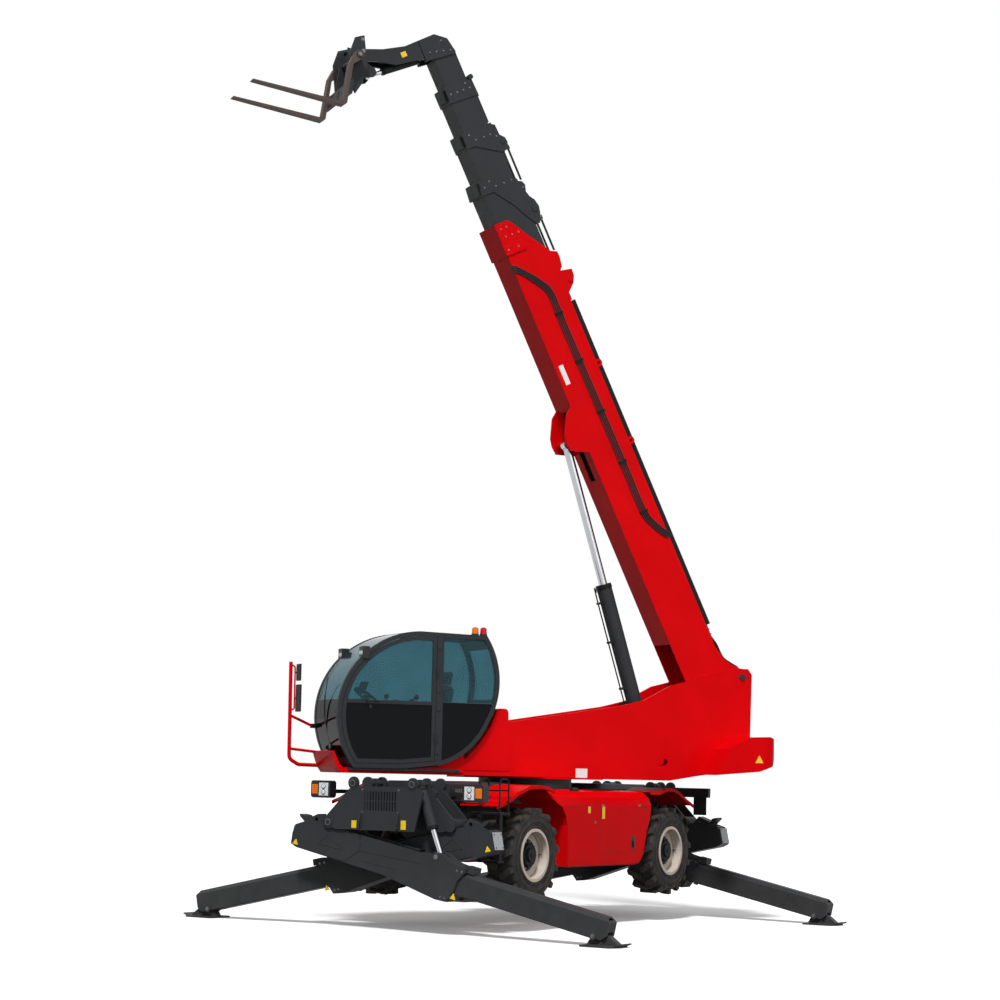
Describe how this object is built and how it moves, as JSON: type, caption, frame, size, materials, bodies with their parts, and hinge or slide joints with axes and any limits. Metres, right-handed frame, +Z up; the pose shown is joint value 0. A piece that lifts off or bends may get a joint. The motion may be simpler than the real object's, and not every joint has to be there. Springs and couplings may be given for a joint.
{
  "type": "rotating telehandler",
  "caption": "Rotating telehandler on lowered crossed outriggers, with a raised telescopic boom, gooseneck head, pallet forks and a glazed round-fronted cab.",
  "frame": {"origin": "on the ground straight under the slew axis", "axes": "+X to the front of the lower chassis, +Y to its left, +Z up along the slew axis"},
  "size_m": [7.1521, 6.7142, 11.8135],
  "materials": {
    "anthracite": "semi-gloss dark grey paint",
    "red": "gloss red paint",
    "grey_metal": "plain casting",
    "black_steel": "black paint",
    "cab_grey": "dark grey paint",
    "tinted_glass": "blue-green tinted glass",
    "black_plastic": "moulded black plastic",
    "seat_fabric": "woven dark seat cover",
    "fork_steel": "dark worn paint over steel",
    "chrome_rod": "polished hard chrome",
    "rim_grey": "light warm grey paint",
    "tyre_rubber": "black rubber, dusty treads"
  },
  "bodies": {
    "chassis": {"chassis_frame": "anthracite", "side_bodies": "red", "engine_block": "grey_metal", "axles": "anthracite", "lamps": "black_plastic", "access_ladder": "black_steel"},
    "upper": {"turret_frame": "red", "service_covers": "red", "counterweight": "red", "cab_shell": "cab_grey", "cab_glass": "tinted_glass", "cab_console": "black_plastic", "cab_seat": "seat_fabric", "guard_rail": "red"},
    "door": {"cab_door": "cab_grey", "door_glass": "tinted_glass"},
    "boom": {"boom_base": "red", "hose_tray": "black_steel"},
    "second": {"boom_second": "anthracite"},
    "third": {"boom_third": "anthracite"},
    "fourth": {"boom_fourth": "anthracite"},
    "head": {"boom_head": "anthracite"},
    "carriage": {"fork_carriage": "anthracite", "forks": "fork_steel"},
    "lift_barrel": {"lift_barrel": "anthracite"},
    "lift_rod": {"lift_rod": "chrome_rod"},
    "tilt_barrel": {"tilt_barrel": "anthracite"},
    "tilt_rod": {"tilt_rod": "chrome_rod"},
    "knuckle_front_left": {"knuckle_front_left": "anthracite"},
    "wheel_front_left": {"rim_front_left": "rim_grey", "tyre_front_left": "tyre_rubber"},
    "knuckle_front_right": {"knuckle_front_right": "anthracite"},
    "wheel_front_right": {"rim_front_right": "rim_grey", "tyre_front_right": "tyre_rubber"},
    "knuckle_rear_left": {"knuckle_rear_left": "anthracite"},
    "wheel_rear_left": {"rim_rear_left": "rim_grey", "tyre_rear_left": "tyre_rubber"},
    "knuckle_rear_right": {"knuckle_rear_right": "anthracite"},
    "wheel_rear_right": {"rim_rear_right": "rim_grey", "tyre_rear_right": "tyre_rubber"},
    "leg_front_left": {"leg_box_front_left": "anthracite"},
    "beam_front_left": {"leg_beam_front_left": "anthracite"},
    "foot_front_left": {"leg_foot_front_left": "anthracite"},
    "ram_front_left": {"leg_barrel_front_left": "anthracite"},
    "ram_rod_front_left": {"leg_rod_front_left": "chrome_rod"},
    "leg_front_right": {"leg_box_front_right": "anthracite"},
    "beam_front_right": {"leg_beam_front_right": "anthracite"},
    "foot_front_right": {"leg_foot_front_right": "anthracite"},
    "ram_front_right": {"leg_barrel_front_right": "anthracite"},
    "ram_rod_front_right": {"leg_rod_front_right": "chrome_rod"},
    "leg_rear_right": {"leg_box_rear_right": "anthracite"},
    "beam_rear_right": {"leg_beam_rear_right": "anthracite"},
    "foot_rear_right": {"leg_foot_rear_right": "anthracite"},
    "ram_rear_right": {"leg_barrel_rear_right": "anthracite"},
    "ram_rod_rear_right": {"leg_rod_rear_right": "chrome_rod"},
    "leg_rear_left": {"leg_box_rear_left": "anthracite"},
    "beam_rear_left": {"leg_beam_rear_left": "anthracite"},
    "foot_rear_left": {"leg_foot_rear_left": "anthracite"},
    "ram_rear_left": {"leg_barrel_rear_left": "anthracite"},
    "ram_rod_rear_left": {"leg_rod_rear_left": "chrome_rod"}
  },
  "joints": [
    {"name": "slew", "type": "hinge", "parent": "chassis", "child": "upper", "pos_m": [0, 0, 1.8], "axis": [0, 0, 1], "continuous": true},
    {"name": "boom_lift", "type": "hinge", "parent": "upper", "child": "boom", "pos_m": [-2.55891, 1.75869, 3.323], "axis": [-0.5664, -0.8241, 0], "range_deg": [-62, 8]},
    {"name": "extend_second", "type": "slide", "parent": "boom", "child": "second", "axis": [0.3651, -0.251, 0.8965], "range_m": [-0.36, 4.9]},
    {"name": "extend_third", "type": "slide", "parent": "second", "child": "third", "axis": [0.3651, -0.251, 0.8965], "range_m": [-0.36, 4.9]},
    {"name": "extend_fourth", "type": "slide", "parent": "third", "child": "fourth", "axis": [0.3651, -0.251, 0.8965], "range_m": [-0.36, 4.9]},
    {"name": "extend_head", "type": "slide", "parent": "fourth", "child": "head", "axis": [0.3651, -0.251, 0.8965], "range_m": [-0.36, 4.9]},
    {"name": "carriage_tilt", "type": "hinge", "parent": "head", "child": "carriage", "pos_m": [2.22902, -1.53196, 11.36984], "axis": [-0.5664, -0.8241, 0], "range_deg": [-25, 65]},
    {"name": "tilt_barrel_swing", "type": "hinge", "parent": "head", "child": "tilt_barrel", "pos_m": [1.49008, -1.0241, 11.45827], "axis": [-0.5664, -0.8241, 0], "range_deg": [-3, 3]},
    {"name": "tilt_rod_slide", "type": "slide", "parent": "tilt_barrel", "child": "tilt_rod", "axis": [0.7532, -0.5176, -0.4059], "range_m": [-0.14, 0.33]},
    {"name": "lift_barrel_swing", "type": "hinge", "parent": "upper", "child": "lift_barrel", "pos_m": [-1.52463, 1.04785, 2.152], "axis": [-0.5664, -0.8241, 0], "range_deg": [-66, 9]},
    {"name": "lift_rod_slide", "type": "slide", "parent": "lift_barrel", "child": "lift_rod", "axis": [0.2479, -0.1704, 0.9537], "range_m": [-1.78, 0.25]},
    {"name": "cab_door_swing", "type": "hinge", "parent": "upper", "child": "door", "pos_m": [2.18891, 0.02814, 2.775], "axis": [0, 0, 1], "range_deg": [0, 75]},
    {"name": "steer_front_left", "type": "hinge", "parent": "chassis", "child": "knuckle_front_left", "pos_m": [1.7575, 0.86, 0.939], "axis": [0, 0, 1], "range_deg": [-25, 25]},
    {"name": "spin_front_left", "type": "hinge", "parent": "knuckle_front_left", "child": "wheel_front_left", "pos_m": [1.7575, 1.072, 0.939], "axis": [0, 1, 0], "continuous": true},
    {"name": "steer_front_right", "type": "hinge", "parent": "chassis", "child": "knuckle_front_right", "pos_m": [1.7575, -0.86, 0.939], "axis": [0, 0, 1], "range_deg": [-25, 25]},
    {"name": "spin_front_right", "type": "hinge", "parent": "knuckle_front_right", "child": "wheel_front_right", "pos_m": [1.7575, -1.072, 0.939], "axis": [0, 1, 0], "continuous": true},
    {"name": "steer_rear_left", "type": "hinge", "parent": "chassis", "child": "knuckle_rear_left", "pos_m": [-1.7575, 0.86, 0.939], "axis": [0, 0, 1], "range_deg": [-25, 25]},
    {"name": "spin_rear_left", "type": "hinge", "parent": "knuckle_rear_left", "child": "wheel_rear_left", "pos_m": [-1.7575, 1.072, 0.939], "axis": [0, 1, 0], "continuous": true},
    {"name": "steer_rear_right", "type": "hinge", "parent": "chassis", "child": "knuckle_rear_right", "pos_m": [-1.7575, -0.86, 0.939], "axis": [0, 0, 1], "range_deg": [-25, 25]},
    {"name": "spin_rear_right", "type": "hinge", "parent": "knuckle_rear_right", "child": "wheel_rear_right", "pos_m": [-1.7575, -1.072, 0.939], "axis": [0, 1, 0], "continuous": true},
    {"name": "swing_front_left", "type": "hinge", "parent": "chassis", "child": "leg_front_left", "pos_m": [3.11, -0.8, 1.295], "axis": [1, 0, 0], "range_deg": [0, 11.5]},
    {"name": "extend_front_left", "type": "slide", "parent": "leg_front_left", "child": "beam_front_left", "axis": [0, 0.9781, -0.2079], "range_m": [-1.5, 0]},
    {"name": "foot_tilt_front_left", "type": "hinge", "parent": "beam_front_left", "child": "foot_front_left", "pos_m": [3.11, 2.96014, 0.11647], "axis": [1, 0, 0], "range_deg": [-3, 3]},
    {"name": "ram_swing_front_left", "type": "hinge", "parent": "chassis", "child": "ram_front_left", "pos_m": [3.11, 0.44, 1.78], "axis": [1, 0, 0], "range_deg": [-1, 16]},
    {"name": "ram_slide_front_left", "type": "slide", "parent": "ram_front_left", "child": "ram_rod_front_left", "axis": [0, 0.3736, -0.9276], "range_m": [-0.28, 0.01]},
    {"name": "swing_front_right", "type": "hinge", "parent": "chassis", "child": "leg_front_right", "pos_m": [2.81, 0.8, 1.295], "axis": [-1, 0, 0], "range_deg": [0, 11.5]},
    {"name": "extend_front_right", "type": "slide", "parent": "leg_front_right", "child": "beam_front_right", "axis": [0, -0.9781, -0.2079], "range_m": [-1.5, 0]},
    {"name": "foot_tilt_front_right", "type": "hinge", "parent": "beam_front_right", "child": "foot_front_right", "pos_m": [2.81, -2.96014, 0.11647], "axis": [-1, 0, 0], "range_deg": [-3, 3]},
    {"name": "ram_swing_front_right", "type": "hinge", "parent": "chassis", "child": "ram_front_right", "pos_m": [2.81, -0.44, 1.78], "axis": [-1, 0, 0], "range_deg": [-1, 16]},
    {"name": "ram_slide_front_right", "type": "slide", "parent": "ram_front_right", "child": "ram_rod_front_right", "axis": [0, -0.3736, -0.9276], "range_m": [-0.28, 0.01]},
    {"name": "swing_rear_right", "type": "hinge", "parent": "chassis", "child": "leg_rear_right", "pos_m": [-3.11, 0.8, 1.295], "axis": [-1, 0, 0], "range_deg": [0, 11.5]},
    {"name": "extend_rear_right", "type": "slide", "parent": "leg_rear_right", "child": "beam_rear_right", "axis": [0, -0.9781, -0.2079], "range_m": [-1.5, 0]},
    {"name": "foot_tilt_rear_right", "type": "hinge", "parent": "beam_rear_right", "child": "foot_rear_right", "pos_m": [-3.11, -2.96014, 0.11647], "axis": [-1, 0, 0], "range_deg": [-3, 3]},
    {"name": "ram_swing_rear_right", "type": "hinge", "parent": "chassis", "child": "ram_rear_right", "pos_m": [-3.11, -0.44, 1.78], "axis": [-1, 0, 0], "range_deg": [-1, 16]},
    {"name": "ram_slide_rear_right", "type": "slide", "parent": "ram_rear_right", "child": "ram_rod_rear_right", "axis": [0, -0.3736, -0.9276], "range_m": [-0.28, 0.01]},
    {"name": "swing_rear_left", "type": "hinge", "parent": "chassis", "child": "leg_rear_left", "pos_m": [-2.81, -0.8, 1.295], "axis": [1, 0, 0], "range_deg": [0, 11.5]},
    {"name": "extend_rear_left", "type": "slide", "parent": "leg_rear_left", "child": "beam_rear_left", "axis": [0, 0.9781, -0.2079], "range_m": [-1.5, 0]},
    {"name": "foot_tilt_rear_left", "type": "hinge", "parent": "beam_rear_left", "child": "foot_rear_left", "pos_m": [-2.81, 2.96014, 0.11647], "axis": [1, 0, 0], "range_deg": [-3, 3]},
    {"name": "ram_swing_rear_left", "type": "hinge", "parent": "chassis", "child": "ram_rear_left", "pos_m": [-2.81, 0.44, 1.78], "axis": [1, 0, 0], "range_deg": [-1, 16]},
    {"name": "ram_slide_rear_left", "type": "slide", "parent": "ram_rear_left", "child": "ram_rod_rear_left", "axis": [0, 0.3736, -0.9276], "range_m": [-0.28, 0.01]}
  ],
  "couplings": [
    {"joint": "extend_third", "follows": "extend_second", "ratio": 1},
    {"joint": "extend_fourth", "follows": "extend_second", "ratio": 1},
    {"joint": "extend_head", "follows": "extend_second", "ratio": 1},
    {"joint": "tilt_barrel_swing", "follows": "carriage_tilt", "ratio": 0.02},
    {"joint": "tilt_rod_slide", "follows": "carriage_tilt", "m_per_rad": 0.275},
    {"joint": "lift_barrel_swing", "follows": "boom_lift", "ratio": 1.035},
    {"joint": "lift_rod_slide", "follows": "boom_lift", "m_per_rad": 1.62},
    {"joint": "steer_front_right", "follows": "steer_front_left", "ratio": 1},
    {"joint": "steer_rear_right", "follows": "steer_rear_left", "ratio": 1},
    {"joint": "ram_swing_front_left", "follows": "swing_front_left", "ratio": 1.26},
    {"joint": "ram_slide_front_left", "follows": "swing_front_left", "m_per_rad": -1.33},
    {"joint": "ram_swing_front_right", "follows": "swing_front_right", "ratio": 1.26},
    {"joint": "ram_slide_front_right", "follows": "swing_front_right", "m_per_rad": -1.33},
    {"joint": "ram_swing_rear_right", "follows": "swing_rear_right", "ratio": 1.26},
    {"joint": "ram_slide_rear_right", "follows": "swing_rear_right", "m_per_rad": -1.33},
    {"joint": "ram_swing_rear_left", "follows": "swing_rear_left", "ratio": 1.26},
    {"joint": "ram_slide_rear_left", "follows": "swing_rear_left", "m_per_rad": -1.33}
  ]
}
